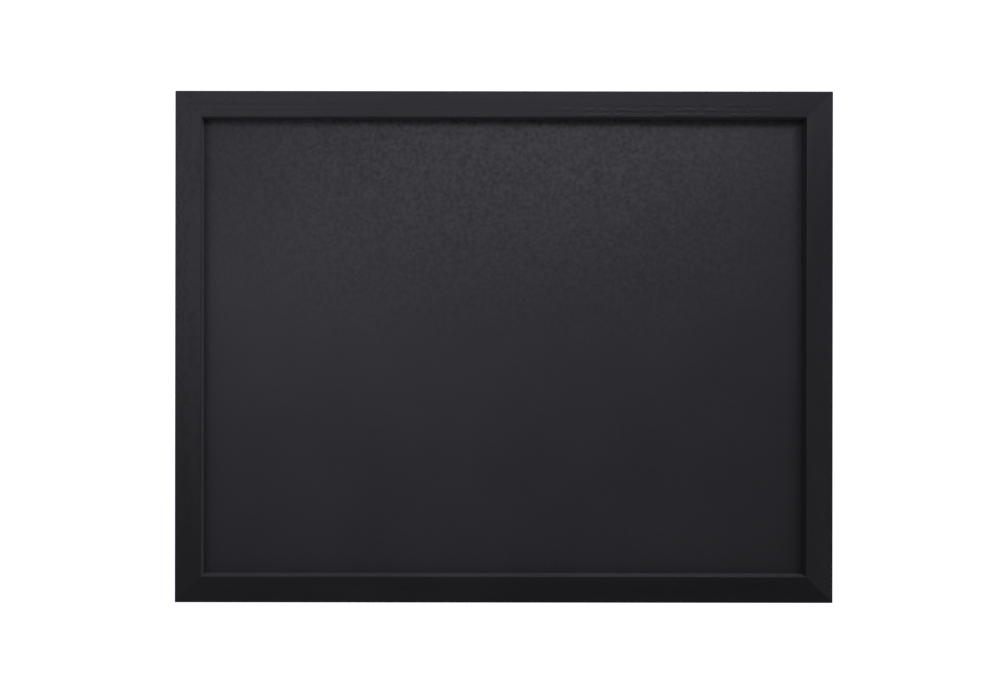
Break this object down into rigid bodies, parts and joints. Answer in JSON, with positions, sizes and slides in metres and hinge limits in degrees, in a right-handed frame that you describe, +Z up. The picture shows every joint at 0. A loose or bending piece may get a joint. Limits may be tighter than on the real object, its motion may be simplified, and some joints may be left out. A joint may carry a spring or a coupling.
{
  "type": "wall chalkboard",
  "caption": "Framed wall chalkboard: a black coated writing panel in a mitred wooden frame, with swinging D-ring hangers and rubber bumpers behind.",
  "frame": {"origin": "on the wall plane that the four bumpers touch, behind the middle of the board", "axes": "+X to the viewer's right along the board's width, +Y from the front towards the wall, +Z up"},
  "size_m": [0.9, 0.028, 0.7],
  "materials": {
    "lacquered_wood": "black lacquer, satin, open grain",
    "chalk_panel": "hardboard with a matt black writing coat in front, bare brown behind",
    "zinc_steel": "bright zinc plated",
    "bumper_rubber": "matt"
  },
  "bodies": {
    "board": {"bottom_left_bumper": "bumper_rubber", "bottom_left_v_nail_inner": "zinc_steel", "bottom_left_v_nail_outer": "zinc_steel", "bottom_rail": "lacquered_wood", "bottom_rail_point_1": "zinc_steel", "bottom_rail_point_2": "zinc_steel", "bottom_rail_point_3": "zinc_steel", "bottom_rail_point_4": "zinc_steel", "bottom_right_bumper": "bumper_rubber", "bottom_right_v_nail_inner": "zinc_steel", "bottom_right_v_nail_outer": "zinc_steel", "left_hanger_screw": "zinc_steel", "left_hanger_strap": "zinc_steel", "left_stile": "lacquered_wood", "left_stile_point_1": "zinc_steel", "left_stile_point_2": "zinc_steel", "left_stile_point_3": "zinc_steel", "right_hanger_screw": "zinc_steel", "right_hanger_strap": "zinc_steel", "right_stile": "lacquered_wood", "right_stile_point_1": "zinc_steel", "right_stile_point_2": "zinc_steel", "right_stile_point_3": "zinc_steel", "top_left_bumper": "bumper_rubber", "top_left_v_nail_inner": "zinc_steel", "top_left_v_nail_outer": "zinc_steel", "top_rail": "lacquered_wood", "top_rail_point_1": "zinc_steel", "top_rail_point_2": "zinc_steel", "top_rail_point_3": "zinc_steel", "top_rail_point_4": "zinc_steel", "top_right_bumper": "bumper_rubber", "top_right_v_nail_inner": "zinc_steel", "top_right_v_nail_outer": "zinc_steel", "writing_panel": "chalk_panel"},
    "left_swing_ring": {"left_hanger_ring": "zinc_steel"},
    "right_swing_ring": {"right_hanger_ring": "zinc_steel"}
  },
  "joints": [
    {"name": "left_ring_hinge", "type": "hinge", "parent": "board", "child": "left_swing_ring", "pos_m": [-0.426, -0.00315, 0.11667], "axis": [0, 0, 1], "range_deg": [0, 174]},
    {"name": "right_ring_hinge", "type": "hinge", "parent": "board", "child": "right_swing_ring", "pos_m": [0.426, -0.00315, 0.11667], "axis": [0, 0, -1], "range_deg": [0, 174]}
  ]
}
